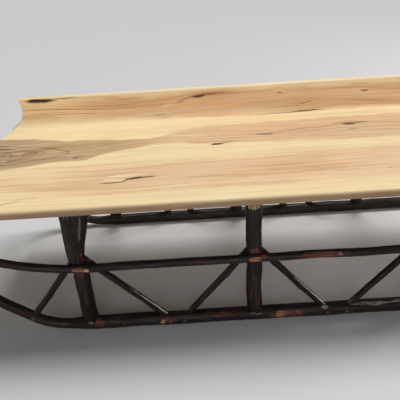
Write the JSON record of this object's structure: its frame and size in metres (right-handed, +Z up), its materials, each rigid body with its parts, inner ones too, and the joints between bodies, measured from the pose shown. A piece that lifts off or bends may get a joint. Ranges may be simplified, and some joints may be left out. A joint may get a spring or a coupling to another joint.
{
  "type": "sled-shaped coffee table",
  "caption": "Rustic plank table with a coved back lip on a sled-shaped base of bark-covered poles with curled runners.",
  "frame": {"origin": "middle of the bounding box, on the floor under it", "axes": "+X along the runners from the curled nose to the tail, +Y across from the open front edge to the lip, +Z up"},
  "size_m": [1.7715, 0.73, 0.572],
  "materials": {
    "hickory_top": "clear satin lacquer over hickory with pale sapwood, brown heartwood and knots",
    "hickory_lip": "clear satin lacquer over hickory, grain along the lip",
    "bark_poles": "dark bark left on and lacquered, worn to orange wood at some crossings",
    "pegs_and_plugs": "plain turned wood, glued",
    "steel_fixings": "plain zinc-grey steel"
  },
  "bodies": {
    "root": {"near_board": "hickory_top", "middle_board": "hickory_top", "far_board": "hickory_top", "back_lip": "hickory_lip", "near_seam_dowels": "pegs_and_plugs", "far_seam_dowels": "pegs_and_plugs", "lip_seam_dowels": "pegs_and_plugs", "front_bolster": "bark_poles", "middle_bolster": "bark_poles", "rear_bolster": "bark_poles", "front_bolster_screws": "steel_fixings", "middle_bolster_screws": "steel_fixings", "rear_bolster_screws": "steel_fixings", "near_runner": "bark_poles", "far_runner": "bark_poles", "near_rail": "bark_poles", "far_rail": "bark_poles", "near_front_leg": "bark_poles", "near_middle_leg": "bark_poles", "near_rear_leg": "bark_poles", "far_front_leg": "bark_poles", "far_middle_leg": "bark_poles", "far_rear_leg": "bark_poles", "near_brace_1": "bark_poles", "near_brace_2": "bark_poles", "near_brace_3": "bark_poles", "near_brace_4": "bark_poles", "near_brace_5": "bark_poles", "far_brace_1": "bark_poles", "far_brace_2": "bark_poles", "far_brace_3": "bark_poles", "far_brace_4": "bark_poles", "far_brace_5": "bark_poles", "near_brace_nails": "steel_fixings", "far_brace_nails": "steel_fixings", "near_runner_pegs": "pegs_and_plugs", "far_runner_pegs": "pegs_and_plugs", "near_rail_screws": "steel_fixings", "far_rail_screws": "steel_fixings", "near_rail_plugs": "pegs_and_plugs", "far_rail_plugs": "pegs_and_plugs", "nose_bar": "bark_poles"}
  },
  "joints": []
}
